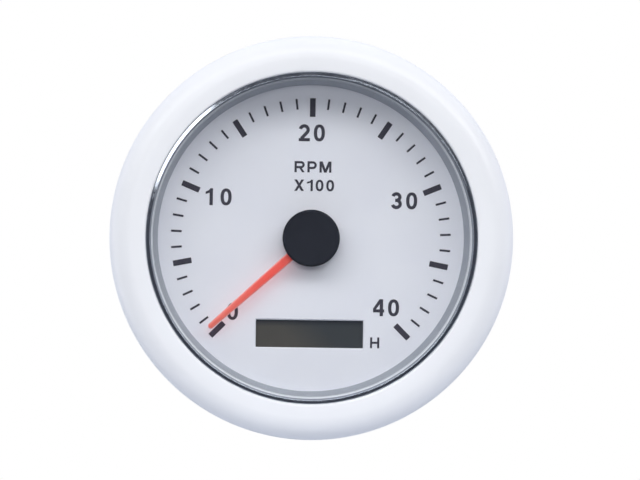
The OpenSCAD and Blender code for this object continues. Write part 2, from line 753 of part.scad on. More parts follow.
// Four pins from the bobbins through the board
module motor_pins() {
    color("silver") facing() for (x = [-pin_x, pin_x], y = [coil_y0, coil_y1])
        post(pin_r, core_z + 0.65, board_z + 0.6, [x, y]);
}

// The light guide: a clear plate that carries the dial
module light_guide() {
    color("azure", 0.5) facing() difference() {
        post(stack_r, box_z, guide_z);
        post(collar_r + 0.35, box_z - 1, guide_z + 1);
        block(lcd_w + 1, lcd_h + 1, box_z - 1, guide_z + 1, [0, -window_drop]);
    }
}

// The light box: a white ring that stands on the board
module light_box() {
    color("white") facing() difference() {
        post(stack_r, board_z, box_z);
        post(stack_r - box_wall, board_z - 1, box_z + 1);
    }
}

// The hour-meter display
module lcd_glass() {
    color("#454845") facing() block(lcd_w, lcd_h, lcd_z - lcd_t, lcd_z, [0, -window_drop]);
}

// The frame that holds the display off the board
module lcd_frame() {
    color("dimgray") facing() difference() {
        block(lcd_w, lcd_h, board_z, lcd_z - lcd_t, [0, -window_drop]);
        block(lcd_w - 2.4, lcd_h - 2.4, board_z - 1, lcd_z, [0, -window_drop]);
    }
}

// Two rubber contact strips between the board and the display
module lcd_connectors() {
    color("gray") facing() for (side = [-1, 1])
        block(lcd_w - 4, 1.2, board_z, lcd_z - lcd_t, [0, -window_drop + side * (lcd_h / 2 - 2.2)]);
}

// The circuit board, drilled for the bearing, the screws, the motor's pins and the terminals
module circuit_board() {
    color("darkgreen") facing() difference() {
        post(stack_r, rear_z, board_z);
        post(collar_r + 0.4, rear_z - 1, board_z + 1);
        for (s = boss_spots) post(screw_r + 0.2, rear_z - 1, board_z + 1, s);
        for (x = [-pin_x, pin_x], y = [coil_y0, coil_y1]) post(pin_r + loose, rear_z - 1, board_z + 1, [x, y]);
        for (x = blade_xs) post(tail_hole_r, rear_z - 1, board_z + 1, [x, terminal_y]);
    }
}

// Six lamps on the front of the board
module backlight_leds() {
    color("lemonchiffon") facing() for (a = led_angles)
        block(led_w, led_h, board_z, board_z + led_t, led_r * [cos(a), sin(a)]);
}

// The processor on the back of the board
module microcontroller() color("#222222") facing() block(chip_w, chip_w, rear_z - chip_t, rear_z, chip_spot);

// The processor's crystal
module crystal() color("silver") facing() block(crystal_w, crystal_h, rear_z - crystal_t, rear_z, crystal_spot);

// The supply regulator
module voltage_regulator() {
    color("#222222") facing() block(regulator_w, regulator_h, rear_z - regulator_t, rear_z, regulator_spot);
}

// The two supply capacitors
module capacitors() {
    color("lightsteelblue") facing() for (s = capacitor_spots) post(capacitor_r, rear_z - capacitor_h, rear_z, s);
}

// The calibration switch's body, with the well that its plunger moves in
module switch_body() {
    color("#333333") facing() difference() {
        block(switch_w, switch_w, rear_z - switch_h, rear_z, button_spot);
        post(plunger_r + loose, rear_z - switch_h - 1, rear_z - switch_h + button_travel + 0.4, button_spot);
    }
}

// The switch's plunger
module switch_plunger() color("gold") facing() post(plunger_r, plunger_z, rear_z - switch_h + 0.1, button_spot);

// The button: pressed from behind the gauge, it pushes the switch's plunger
module calibration_button() {
    color("firebrick") facing() {
        post(button_r, outside_z - guard_h - button_out, floor_z + 0.1, button_spot);
        post(button_r + 0.8, floor_z + 0.1, floor_z + 1.1, button_spot);
        post(plunger_r, floor_z + 1.1, plunger_z, button_spot);
    }
}

// Four screws that hold the board on the case's bosses
module board_screws() {
    color("silver") facing() for (s = boss_spots) {
        post(screw_head_r, board_z, board_z + screw_head_t, s);
        post(screw_r, rear_z - screw_len, board_z, s);
    }
}

// The case: a moulded cup with a stepped flange that the bezel clips over
module rear_case() {
    color("#26272b") facing() difference() {
        union() {
            rotate_extrude() polygon([[0, outside_z], [barrel_r - 1, outside_z], [barrel_r, outside_z + 1],
                [barrel_r, gasket_t], [flange_r - snap_step, gasket_t],
                [flange_r - snap_step, gasket_t + flange_t / 2], [flange_r, gasket_t + flange_t / 2],
                [flange_r, flange_z], [seat_r, flange_z], [seat_r, seat_z],
                [bore_r, seat_z], [bore_r, floor_z], [0, floor_z]]);
            for (s = boss_spots) post(boss_r, floor_z - 0.5, rear_z, s);
            for (x = [-stud_x, stud_x]) post(stud_r + 3, outside_z - collar_h, outside_z + 0.5, [x, 0]);
            post(guard_r, outside_z - guard_h, outside_z + 0.5, button_spot);
        }
        for (s = boss_spots) post(screw_r + run, rear_z - screw_len - 1, rear_z + 1, s);
        for (x = [-stud_x, stud_x]) post(stud_r + run, outside_z - collar_h - 1, floor_z + 1, [x, 0]);
        post(button_r + loose, outside_z - guard_h - 1, floor_z + 1, button_spot);
        post(vent_r + run, outside_z - 1, floor_z + 1, vent_spot);
        block(block_w + 0.2, block_h + 0.2, outside_z - 1, floor_z + 1, [0, terminal_y]);
    }
}

// The moulded block that the blade terminals pass through
module terminal_block() {
    color("#1d1d20") facing() difference() {
        union() {
            block(block_w + 2 * block_flange, block_h + 2 * block_flange, outside_z - block_flange_t, outside_z,
                [0, terminal_y]);
            block(block_w, block_h, outside_z - 0.5, outside_z + block_depth, [0, terminal_y]);
        }
        for (x = blade_xs)
            block(blade_t + run, blade_w + run, outside_z - 5, outside_z + block_depth + 1, [x, terminal_y]);
    }
}

// Four tinned blades, wide outside and narrow where they are soldered to the board
module blade_terminals() {
    tip = outside_z - block_flange_t - blade_len;
    back = outside_z + block_depth;
    chamfer = 1;
    outline = [[-blade_w / 2 + chamfer, tip], [blade_w / 2 - chamfer, tip], [blade_w / 2, tip + 2 * chamfer],
        [blade_w / 2, back], [tail_w / 2, back], [tail_w / 2, board_z + 0.6], [-tail_w / 2, board_z + 0.6],
        [-tail_w / 2, back], [-blade_w / 2, back], [-blade_w / 2, tip + 2 * chamfer]];
    color("silver") facing() for (x = blade_xs) difference() {
        translate([x - blade_t / 2, terminal_y, 0]) rotate([90, 0, 90]) linear_extrude(blade_t) polygon(outline);
        translate([x, terminal_y, tip + 4]) rotate([0, 90, 0]) cylinder(r = 0.8, h = 2 * blade_t, center = true);
    }
}

// The vent plug: lets the case breathe and keeps water out
module vent_plug() {
    color("#3a3b40") facing() {
        post(vent_r, outside_z, floor_z + 0.8, vent_spot);
        post(vent_r + 1.2, outside_z - 1.2, outside_z, vent_spot);
    }
}

// The gasket between the bezel and the panel
module panel_gasket() {
    color("#202020") facing() difference() {
        post(gasket_out_r, 0, gasket_t);
        post(gasket_in_r, -1, gasket_t + 1);
    }
}

// Two brass studs with their heads inside the case
module mounting_studs() {
    color("goldenrod") facing() for (x = [-stud_x, stud_x]) {
        post(stud_head_r, floor_z, floor_z + stud_head_t, [x, 0]);
        post(stud_r, stud_end_z + thread_depth, floor_z, [x, 0]);
        translate([x, 0, stud_end_z]) cylinder(r1 = stud_r - thread_depth, r2 = stud_r, h = thread_depth);
    }
}

// The clamp bracket: a bent steel strap whose feet press on the back of the panel
module clamp_bracket() {
    line = strap_z + bracket_t / 2;
    half = concat(
        [[leg_x + bracket_t / 2 + foot_len, foot_z - bracket_t / 2]],
        arc(leg_x + bend_r, foot_z - bracket_t / 2 - bend_r, bend_r, bend_r, 90, 180, 8),
        arc(leg_x - bend_r, line + bend_r, bend_r, bend_r, 0, -90, 8));
    path = concat(half, [for (i = [len(half) - 1:-1:0]) [-half[i][0], half[i][1]]]);
    color("lightgray") facing() difference() {
        rotate([90, 0, 0]) translate([0, 0, -bracket_w / 2]) linear_extrude(bracket_w) ribbon(path, bracket_t);
        for (x = [-stud_x, stud_x]) post(stud_r + 0.2, strap_z - 1, strap_z + bracket_t + 1, [x, 0]);
    }
}

// A washer under each clamp nut
module clamp_washers() {
    color("silver") facing() for (x = [-stud_x, stud_x]) difference() {
        post(stud_r + 2.5, washer_z, strap_z, [x, 0]);
        post(stud_r + loose, washer_z - 1, strap_z + 1, [x, 0]);
    }
}

// A knurled thumb nut
module clamp_nut(x) {
    ribs = 36;
    rib_h = 0.35;
    rim = 0.8;
    knurl = [for (i = [0:4 * ribs - 1])
        let (r = nut_r - (i % 4 < 2 ? 0 : rib_h), a = 360 * i / 4 / ribs) r * [cos(a), sin(a)]];
    color("goldenrod") facing() translate([x, 0, 0]) difference() {
        union() {
            translate([0, 0, nut_z + rim]) linear_extrude(nut_h - 2 * rim) polygon(knurl);
            post(nut_r - rib_h - 0.4, nut_z, washer_z);
        }
        post(stud_r + run, nut_z - 1, washer_z + 1);
    }
}
module clamp_nut_left() clamp_nut(-stud_x);
module clamp_nut_right() clamp_nut(stud_x);

bezel();
trim_ring();
lens();
lens_seal();
spacer_ring();
dial();
dial_ticks();
dial_numerals();
dial_lettering();
pointer();
pointer_bush();
hub_cap();
output_shaft();
output_gear();
intermediate_gear();
intermediate_pinion();
rotor_pinion();
rotor_magnet();
motor_front_shell();
motor_rear_shell();
stator_core();
coil_bobbins();
coil_windings();
motor_pins();
light_guide();
light_box();
lcd_glass();
lcd_frame();
lcd_connectors();
circuit_board();
backlight_leds();
microcontroller();
crystal();
voltage_regulator();
capacitors();
switch_body();
switch_plunger();
board_screws();
rear_case();
calibration_button();
terminal_block();
blade_terminals();
vent_plug();
panel_gasket();
mounting_studs();
clamp_bracket();
clamp_washers();
clamp_nut_left();
clamp_nut_right();
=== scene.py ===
from math import cos, pi, radians, sin, tan

import bmesh
import bpy
from mathutils import Matrix, Vector


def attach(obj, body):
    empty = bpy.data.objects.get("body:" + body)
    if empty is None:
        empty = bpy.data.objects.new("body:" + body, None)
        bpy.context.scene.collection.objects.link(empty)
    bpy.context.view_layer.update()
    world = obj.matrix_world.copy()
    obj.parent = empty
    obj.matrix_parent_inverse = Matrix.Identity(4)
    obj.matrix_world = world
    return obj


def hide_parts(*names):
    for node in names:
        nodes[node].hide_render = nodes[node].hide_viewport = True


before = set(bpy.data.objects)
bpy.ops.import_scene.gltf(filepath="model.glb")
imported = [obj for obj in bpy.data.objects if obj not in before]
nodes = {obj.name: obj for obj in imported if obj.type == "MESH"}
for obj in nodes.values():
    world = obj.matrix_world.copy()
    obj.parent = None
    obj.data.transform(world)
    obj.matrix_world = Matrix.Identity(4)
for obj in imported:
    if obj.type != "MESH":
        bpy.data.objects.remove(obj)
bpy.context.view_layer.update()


# ---------------------------------------------------------------- rear case
# The cup that holds everything: black glass-filled nylon, injection moulded.
# The mould's spark-eroded face leaves it a fine, even, slightly glossy grain.

def linear(code):
    """An sRGB hex colour as linear red, green, blue and alpha."""
    parts = [int(code[i:i + 2], 16) / 255 for i in (1, 3, 5)]
    return (*[c / 12.92 if c <= 0.04045 else ((c + 0.055) / 1.055) ** 2.4 for c in parts], 1.0)


def node(mat, kind, inputs=None, **settings):
    """One node with its settings. A socket takes a number, hex colour, output or node's first output."""
    made = mat.node_tree.nodes.new(kind)
    for name, value in settings.items():
        setattr(made, name, value)
    for name, value in (inputs or {}).items():
        if isinstance(value, bpy.types.Node):
            value = value.outputs[0]
        if isinstance(value, bpy.types.NodeSocket):
            mat.node_tree.links.new(value, made.inputs[name])
        else:
            made.inputs[name].default_value = linear(value) if isinstance(value, str) else value
    return made


def blank(name):
    """A node material with nothing in it."""
    mat = bpy.data.materials.new(name)
    mat.use_nodes = True
    mat.node_tree.nodes.clear()
    return mat


def clouded(mat, size, detail, first, second):
    """A colour that drifts from the first to the second in soft clouds about size millimetres across."""
    cloud = node(mat, "ShaderNodeTexNoise", {
        "Vector": node(mat, "ShaderNodeTexCoord").outputs["Object"], "Scale": 1000 / size, "Detail": detail})
    share = node(mat, "ShaderNodeMapRange", {"Value": cloud, "From Min": 0.35, "From Max": 0.65})
    return node(mat, "ShaderNodeMix", {0: share, 6: first, 7: second}, data_type="RGBA").outputs[2]


def rubbed(mat, size, detail, low, high):
    """A roughness that wanders between low and high in spots about size millimetres across."""
    spots = node(mat, "ShaderNodeTexNoise", {
        "Vector": node(mat, "ShaderNodeTexCoord").outputs["Object"], "Scale": 1000 / size, "Detail": detail})
    return node(mat, "ShaderNodeMapRange", {
        "Value": spots, "From Min": 0.35, "From Max": 0.65, "To Min": low, "To Max": high})


def grained(mat, size, detail, depth, strength, **under):
    """A grain of size and depth in millimetres; Normal names what lies under it, such as rounded edges."""
    bumps = node(mat, "ShaderNodeTexNoise", {
        "Vector": node(mat, "ShaderNodeTexCoord").outputs["Object"], "Scale": 1000 / size, "Detail": detail})
    return node(mat, "ShaderNodeBump", {
        "Height": bumps, "Distance": depth / 1000, "Strength": strength, **under})


def moulded(name, colour, worn, gloss, size, depth, edge=0.12, sheen=0.5):
    """A moulded plastic: colour, its paler clouds, roughness, then grain, depth and edge in millimetres."""
    mat = blank(name)
    rounded = node(mat, "ShaderNodeBevel", {"Radius": edge / 1000}, samples=4)
    shader = node(mat, "ShaderNodeBsdfPrincipled", {
        "Base Color": clouded(mat, 14, 3, colour, worn),
        "Roughness": rubbed(mat, size * 3, 2, gloss - 0.06, gloss + 0.06),
        "Specular IOR Level": sheen, "IOR": 1.5,
        "Normal": grained(mat, size, 3, depth, 0.6, Normal=rounded)})
    node(mat, "ShaderNodeOutputMaterial", {"Surface": shader})
    return mat


def metal(name, colour, dull, gloss, size, squeeze, depth, edge=0.1):
    """A metal: colour, duller patches, roughness, and marks of size millimetres, thinner by squeeze each way."""
    mat = blank(name)
    rounded = node(mat, "ShaderNodeBevel", {"Radius": edge / 1000}, samples=4)
    thinner = node(mat, "ShaderNodeMapping", {
        "Vector": node(mat, "ShaderNodeTexCoord").outputs["Object"], "Scale": squeeze})
    marks = node(mat, "ShaderNodeTexNoise", {"Vector": thinner, "Scale": 1000 / size, "Detail": 3})
    shader = node(mat, "ShaderNodeBsdfPrincipled", {
        "Base Color": clouded(mat, 9, 4, colour, dull),
        "Metallic": 1.0,
        "Roughness": node(mat, "ShaderNodeMapRange", {
            "Value": marks, "From Min": 0.35, "From Max": 0.65,
            "To Min": gloss - 0.07, "To Max": gloss + 0.07}),
        "Normal": node(mat, "ShaderNodeBump", {
            "Height": marks, "Distance": depth / 1000, "Strength": 0.5, "Normal": rounded})})
    node(mat, "ShaderNodeOutputMaterial", {"Surface": shader})
    return mat


def dress(mat, *names):
    """Gives CAD nodes or pieces a material."""
    for piece in names:
        piece = nodes[piece] if isinstance(piece, str) else piece
        piece.data.materials.clear()
        piece.data.materials.append(mat)


# Black with a soft grey gloss: a 0.4 mm grain, the finest that still shows.
case_nylon = moulded("moulded_black_nylon", "#1d1e21", "#232427", 0.46, 0.4, 0.02, edge=0.3)
dress(case_nylon, "rear_case")


# ---------------------------------------------------------------- mounting studs
# Two M4 brass studs with rolled thread; their round heads are moulded in behind the back wall.
# The brass is warm yellow, bright on the crests and darker down in the thread, its marks going round.

def mm(x, y, z):
    """A point on the dial, in millimetres to the right, up and towards the reader."""
    return Vector((x, -z, y)) / 1000


def smooth(piece, angle, flats=True):
    """Smooth faces that break at edges sharper than angle; flats keeps the flat faces even."""
    for face in piece.data.polygons:
        face.use_smooth = True
    piece.data.set_sharp_from_angle(angle=radians(angle))
    if flats:
        even = piece.modifiers.new("even", "WEIGHTED_NORMAL")
        even.keep_sharp, even.weight, even.thresh = True, 100, 1e-9


def keep(name, bm, angle=32, flats=True):
    """Turns a bmesh into a finished piece."""
    bmesh.ops.recalc_face_normals(bm, faces=bm.faces)
    mesh = bpy.data.meshes.new(name)
    bm.to_mesh(mesh)
    bm.free()
    piece = bpy.data.objects.new(name, mesh)
    bpy.context.scene.collection.objects.link(piece)
    smooth(piece, angle, flats)
    return piece


def turn(bm, outline, steps=96, at=(0, 0), closed=True, ease=0):
    """Spins an outline of (radius, height) about an axis through a place on the dial, and eases its rims."""
    points = [bm.verts.new(mm(at[0] + r, at[1], z)) for r, z in outline]
    ring = points + points[:1] if closed else points
    edges = [bm.edges.new(pair) for pair in zip(ring, ring[1:])]
    bmesh.ops.spin(bm, geom=points + edges, cent=mm(*at, 0), axis=(0, 1, 0),
                   angle=2 * pi, steps=steps, use_merge=True)
    bmesh.ops.remove_doubles(bm, verts=bm.verts, dist=1e-7)
    if ease:
        bm.normal_update()
        rims = [e for e in bm.edges if len(e.link_faces) == 2 and e.calc_face_angle(0) > radians(24)
                and abs(e.verts[0].co.y - e.verts[1].co.y) < 1e-7]
        bmesh.ops.bevel(bm, geom=rims, offset=ease / 1000, segments=3, profile=0.5,
                        affect="EDGES", material=-1, clamp_overlap=True)


stud_x, stud_end, head_r, head_t, case_floor = 24, -64, 4.5, 2, -35.5
pitch, crest, root, thread_start, thread_turns = 0.7, 2.0, 1.6, -41, 32
# One ridge of the thread: its radius, and how far along one pitch.
ridge = ((root - 0.08, 0), (root, 0.06), (crest, 0.44), (crest, 0.56), (root, 0.94), (root - 0.08, 1))


def threaded_rod(name, at):
    """A rod at its thread's root radius, with the thread wound on it as a helix that fades at the tip."""
    bm = bmesh.new()
    steps = 20
    line = [bm.verts.new(mm(at[0] + r, at[1], thread_start + along * pitch)) for r, along in ridge]
    edges = [bm.edges.new(pair) for pair in zip(line, line[1:])]
    bmesh.ops.spin(bm, geom=line + edges, cent=mm(*at, 0), axis=(0, 1, 0), angle=2 * pi * thread_turns,
                   steps=steps * thread_turns, dvec=(0, pitch / steps / 1000, 0))
    bmesh.ops.remove_doubles(bm, verts=bm.verts, dist=1e-6)
    for v in bm.verts:
        from_tip = max(-v.co.y * 1000 - stud_end, 0)
        limit = root - 0.4 + from_tip * 0.75
        out = Vector((v.co.x * 1000 - at[0], v.co.z * 1000 - at[1]))
        if out.length > limit:
            out *= limit / out.length
            v.co = mm(at[0] + out.x, at[1] + out.y, -v.co.y * 1000)
    bmesh.ops.recalc_face_normals(bm, faces=bm.faces)
    rod = [(0, stud_end), (root - 0.5, stud_end), (root, stud_end + 0.6), (root, thread_start)]
    rod += [(crest, thread_start + 0.5), (crest, case_floor), (head_r, case_floor)]
    rod += [(head_r, case_floor + head_t), (0, case_floor + head_t)]
    turn(bm, rod, 48, at, closed=False, ease=0.2)
    return keep(name, bm)


brass = metal("rolled_brass", "#c9a45a", "#b18f4e", 0.3, 0.5, (1, 6, 1), 0.01)
studs = [threaded_rod("stud_left", (-stud_x, 0)), threaded_rod("stud_right", (stud_x, 0))]
for stud in studs:
    dress(brass, stud)
    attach(stud, "housing")
    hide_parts("mounting_studs")


# ---------------------------------------------------------------- circuit board
# The glass-epoxy board under green solder resist, with its parts soldered on both faces.
# The resist is glossy over the glass weave, drawn 0.8 mm wide so that it only just shows.

board_green = blank("green_resist_board")
weave = node(board_green, "ShaderNodeTexChecker", {
    "Vector": node(board_green, "ShaderNodeTexCoord").outputs["Object"], "Scale": 1000 / 0.8})
resist = node(board_green, "ShaderNodeBsdfPrincipled", {
    "Base Color": clouded(board_green, 3, 4, "#0f5a32", "#156b3d"),
    "Roughness": 0.32, "Coat Weight": 0.4, "Coat Roughness": 0.15,
    "Normal": node(board_green, "ShaderNodeBump", {
        "Height": weave.outputs["Fac"], "Distance": 0.01 / 1000, "Strength": 0.3})})
node(board_green, "ShaderNodeOutputMaterial", {"Surface": resist})
dress(board_green, "circuit_board")

# Transfer-moulded epoxy: flat grey-black, finely pitted.
dress(moulded("moulded_epoxy_black", "#18181a", "#1e1e20", 0.62, 0.3, 0.012),
      "microcontroller", "voltage_regulator")
# Lamps cast in phosphor resin: milky yellow.
dress(moulded("cast_phosphor_resin", "#eadf9c", "#f0e7b4", 0.3, 0.8, 0.01), "backlight_leds")
# Drawn aluminium cans: even satin grey, with faint marks going round.
dress(metal("drawn_aluminium", "#aab0b6", "#9aa0a7", 0.32, 0.6, (1, 8, 1), 0.006), "capacitors")
# The push switch: a black nylon base, and a cream acetal plunger that is smoother.
dress(moulded("moulded_switch_nylon", "#1f2022", "#26272a", 0.5, 0.4, 0.015), "switch_body")
dress(moulded("moulded_cream_acetal", "#cdbf93", "#d6caa3", 0.35, 0.6, 0.01), "switch_plunger")

# Zinc-plated steel: cold grey with soft cloudy patches; screws, bracket, washers, shaft and crystal can.
plated = metal("zinc_plated_steel", "#b4b8bc", "#9ca1a8", 0.34, 1.6, (1, 1, 1), 0.008, edge=0.18)
dress(plated, "board_screws", "crystal", "output_shaft")


# ---------------------------------------------------------------- movement
# The stepping motor: two moulded shells, acetal wheels, a ferrite rotor and two wound coils.
# It is fixed to the board by its four tinned pins.

# Polyester as moulded: light grey and satin.
dress(moulded("moulded_grey_polyester", "#cfd1d3", "#d8dadb", 0.5, 0.6, 0.015),
      "motor_front_shell", "motor_rear_shell")
# Undyed acetal: milky, a little waxy, with crisp tooth edges.
dress(moulded("moulded_natural_acetal", "#ded9c8", "#e6e2d4", 0.36, 0.5, 0.01, edge=0.04),
      "output_gear", "intermediate_gear", "intermediate_pinion", "rotor_pinion")
# Undyed nylon: ivory, and duller than the wheels.
dress(moulded("moulded_ivory_nylon", "#d6d0b8", "#ded9c5", 0.42, 0.5, 0.01, edge=0.06),
      "coil_bobbins", "pointer_bush")
# Sintered ferrite: dull grey-black and grainy.
dress(moulded("sintered_ferrite", "#3a3a3d", "#47474b", 0.66, 0.3, 0.02), "rotor_magnet")
# Stacked silicon-steel sheets: dull blue-grey, with fine marks that lie along the sheets.
dress(metal("punched_laminations", "#6d7178", "#5f6369", 0.42, 0.35, (1, 4, 1), 0.02), "stator_core")
# Enamelled wire wound round the coil, which stands along Z: glossy red-brown. Its 0.25 mm lines are
# too fine to show, so they are drawn 1.6 mm apart, which is 2 pi / 20 / 200 of a metre in this wave.
wound = blank("enamelled_copper_wire")
turns_and_groove_shade = node(wound, "ShaderNodeTexWave", {
    "Vector": node(wound, "ShaderNodeTexCoord").outputs["Object"], "Scale": 200},
    bands_direction="Z", wave_profile="SIN").outputs["Fac"]
# The colour follows the same wave: darker in the grooves between turns, a painted shade, and lighter on the
# crests, a painted highlight.
enamel = node(wound, "ShaderNodeBsdfPrincipled", {
    "Base Color": node(wound, "ShaderNodeMix", {
        0: turns_and_groove_shade, 6: "#6e2f12", 7: "#b4612c"}, data_type="RGBA").outputs[2],
    "Metallic": 0.8, "Roughness": 0.28,
    "Normal": node(wound, "ShaderNodeBump", {"Height": turns_and_groove_shade, "Distance": 0.1 / 1000, "Strength": 0.8})})
node(wound, "ShaderNodeOutputMaterial", {"Surface": enamel})
dress(wound, "coil_windings")
# Tinned brass: soft silver with a hint of yellow.
tinned = metal("tinned_brass", "#b9b7ae", "#a5a39a", 0.3, 0.7, (1, 3, 1), 0.006, edge=0.12)
dress(tinned, "motor_pins", "blade_terminals")


# ---------------------------------------------------------------- light box, guide and display
# A white moulded box throws the lamps' light forward into a clear acrylic guide behind the dial.
# The hour-meter display stands in a cut-out of the guide, on a frame and two rubber contact strips.

# Polycarbonate as moulded: even white, hardly glossy.
dress(moulded("moulded_white_polycarbonate", "#e9ebec", "#f0f1f2", 0.5, 0.8, 0.01), "light_box")
# Cast acrylic: clear, with a breath of blue.
guide_acrylic = blank("cast_acrylic_guide")
haze = node(guide_acrylic, "ShaderNodeTexNoise", {
    "Vector": node(guide_acrylic, "ShaderNodeTexCoord").outputs["Object"], "Scale": 1000 / 6, "Detail": 2})
clear = node(guide_acrylic, "ShaderNodeBsdfPrincipled", {
    "Base Color": node(guide_acrylic, "ShaderNodeMix", {
        0: haze, 6: "#eef5f7", 7: "#e3edf0"}, data_type="RGBA").outputs[2],
    "Roughness": 0.12, "IOR": 1.49, "Transmission Weight": 0.85})
node(guide_acrylic, "ShaderNodeOutputMaterial", {"Surface": clear})
dress(guide_acrylic, "light_guide")
# The frame is dark moulded plastic, satin; the strips are dull grey rubber.
dress(moulded("moulded_dark_frame", "#3b3c3f", "#434447", 0.55, 0.5, 0.012), "lcd_frame")
dress(moulded("moulded_contact_rubber", "#4a4b4d", "#525355", 0.75, 0.5, 0.02), "lcd_connectors")

# The switched-off display: dark glass that goes from warm brown-grey at the left to green-grey
# at the right, across a soft slanting boundary. Along its top edge lies a painted shade, darker and bluer.
warm_until, green_from, edge_from, edge_full = -26, -16, -21.2, -19.6
display = blank("liquid_crystal_glass")
place = node(display, "ShaderNodeSeparateXYZ", {
    "Vector": node(display, "ShaderNodeTexCoord").outputs["Object"]})
rise = node(display, "ShaderNodeMath", {0: place.outputs["Z"], 1: 0.9}, operation="MULTIPLY")
slant = node(display, "ShaderNodeMath", {0: place.outputs["X"], 1: rise}, operation="ADD")
rightward = node(display, "ShaderNodeMapRange", {
    "Value": slant, "From Min": warm_until / 1000, "From Max": green_from / 1000})
top_edge_painted_shade = node(display, "ShaderNodeMapRange", {
    "Value": place.outputs["Z"], "From Min": edge_from / 1000, "From Max": edge_full / 1000})
tone = node(display, "ShaderNodeMix", {
    0: rightward, 6: "#4f4d4a", 7: "#3d4145"}, data_type="RGBA").outputs[2]
tone = node(display, "ShaderNodeMix", {0: top_edge_painted_shade, 6: tone, 7: "#2b3038"}, data_type="RGBA").outputs[2]
glassy = node(display, "ShaderNodeBsdfPrincipled", {
    "Base Color": tone, "Roughness": 0.12, "IOR": 1.5, "Coat Weight": 0.5, "Coat Roughness": 0.03,
    "Normal": grained(display, 0.3, 2, 0.004, 0.3)})
node(display, "ShaderNodeOutputMaterial", {"Surface": glassy})
dress(display, "lcd_glass")


# ---------------------------------------------------------------- dial and print
# A flat polycarbonate plate, screen-printed matt white, with the hour-meter window cut in it.
# The window's edge is chamfered, and its lower side catches the light as a thin bright line.

dial_z, dial_t, dial_out, dial_hole = -2.5, 0.8, 39.4, 2.6
window_w, window_h, window_y, chamfer = 25.6, 6.55, -22.85, 0.28


def slab(bm, width, height, z0, z1, at=(0, 0)):
    """A box between two heights on the dial."""
    place = Matrix.Translation(mm(at[0], at[1], (z0 + z1) / 2)) @ Matrix.Diagonal(
        (width / 1000, (z1 - z0) / 1000, height / 1000, 1))
    return bmesh.ops.create_cube(bm, size=1, matrix=place)["verts"]


bm = bmesh.new()
turn(bm, [(dial_hole, dial_z - dial_t), (dial_out, dial_z - dial_t), (dial_out, dial_z), (dial_hole, dial_z)],
     144, ease=0.06)
dial = keep("dial_plate", bm, flats=False)
bm = bmesh.new()
slab(bm, window_w, window_h, dial_z - 2, dial_z + 1, (0, window_y))
flare = slab(bm, window_w, window_h, dial_z - chamfer, dial_z + chamfer, (0, window_y))
for v in flare:
    if -v.co.y * 1000 > dial_z:
        v.co.x *= (window_w + 4 * chamfer) / window_w
        v.co.z = (v.co.z - window_y / 1000) * (window_h + 4 * chamfer) / window_h + window_y / 1000
cutter = keep("window_cutter", bm, flats=False)
cut = dial.modifiers.new("window", "BOOLEAN")
cut.object, cut.solver, cut.operation = cutter, "EXACT", "DIFFERENCE"
cut.use_self = True
bpy.context.view_layer.update()
solved = bpy.data.meshes.new_from_object(dial.evaluated_get(bpy.context.evaluated_depsgraph_get()))
dial.modifiers.clear()
dial.data = solved
smooth(dial, 24)
bpy.data.objects.remove(cutter)

# Matt screen ink on a smooth plate: a faint 0.5 mm mottle, hardly any gloss.
dial_white = blank("screen_printed_white")
dial_paint = node(dial_white, "ShaderNodeBsdfPrincipled", {
    "Base Color": clouded(dial_white, 11, 3, "#eeeffa", "#f1f2fc"),
    "Roughness": rubbed(dial_white, 0.5, 2, 0.62, 0.72), "Specular IOR Level": 0.3,
    "Normal": grained(dial_white, 0.5, 2, 0.006, 0.4)})
node(dial_white, "ShaderNodeOutputMaterial", {"Surface": dial_paint})
dress(dial_white, dial)
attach(dial, "housing")
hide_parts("dial")

# The print: a dense grey-black ink, matt and a little uneven in its cover.
print_ink = blank("screen_printed_ink")
ink = node(print_ink, "ShaderNodeBsdfPrincipled", {
    "Base Color": clouded(print_ink, 0.4, 3, "#3d3b47", "#474551"),
    "Roughness": 0.7, "Specular IOR Level": 0.15})
node(print_ink, "ShaderNodeOutputMaterial", {"Surface": ink})
dress(print_ink, "dial_ticks", "dial_numerals", "dial_lettering")


# ---------------------------------------------------------------- spacer ring
# A light grey styrene cone between the glass and the dial, moulded smooth and satin.
# It holds the dial down, and its inner lip is painted pale, a painted highlight that shows as a thin bright line
# inside the seal.

cone_foot_r, cone_lip_r, cone_top, cone_outer_r, cone_back_r, seat_z = 36.5, 37.75, 3.4, 39.6, 38.5, 2.65
bm = bmesh.new()
turn(bm, [(cone_foot_r, dial_z), (cone_outer_r, dial_z), (cone_outer_r, seat_z), (cone_back_r, seat_z),
          (cone_back_r, cone_top), (cone_lip_r, cone_top)], 240, ease=0.12)
cone = keep("spacer_cone", bm)
# Grey on the slope; the top 0.2 mm, where the glass rests, is painted pale, a painted highlight that shows as
# the thin bright line.
cone_grey = blank("moulded_grey_styrene")
height = node(cone_grey, "ShaderNodeSeparateXYZ", {
    "Vector": node(cone_grey, "ShaderNodeTexCoord").outputs["Object"]}).outputs["Y"]
lip_painted_highlight = node(cone_grey, "ShaderNodeMapRange", {
    "Value": height, "From Min": (0.2 - cone_top) / 1000, "From Max": (0.1 - cone_top) / 1000})
slope = clouded(cone_grey, 14, 3, "#949aa5", "#9aa0ab")
styrene = node(cone_grey, "ShaderNodeBsdfPrincipled", {
    "Base Color": node(cone_grey, "ShaderNodeMix", {
        0: lip_painted_highlight, 6: slope, 7: "#dfe4ec"}, data_type="RGBA").outputs[2],
    "Roughness": rubbed(cone_grey, 0.9, 2, 0.3, 0.4), "IOR": 1.5})
node(cone_grey, "ShaderNodeOutputMaterial", {"Surface": styrene})
dress(cone_grey, cone)
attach(cone, "housing")
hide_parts("spacer_ring")
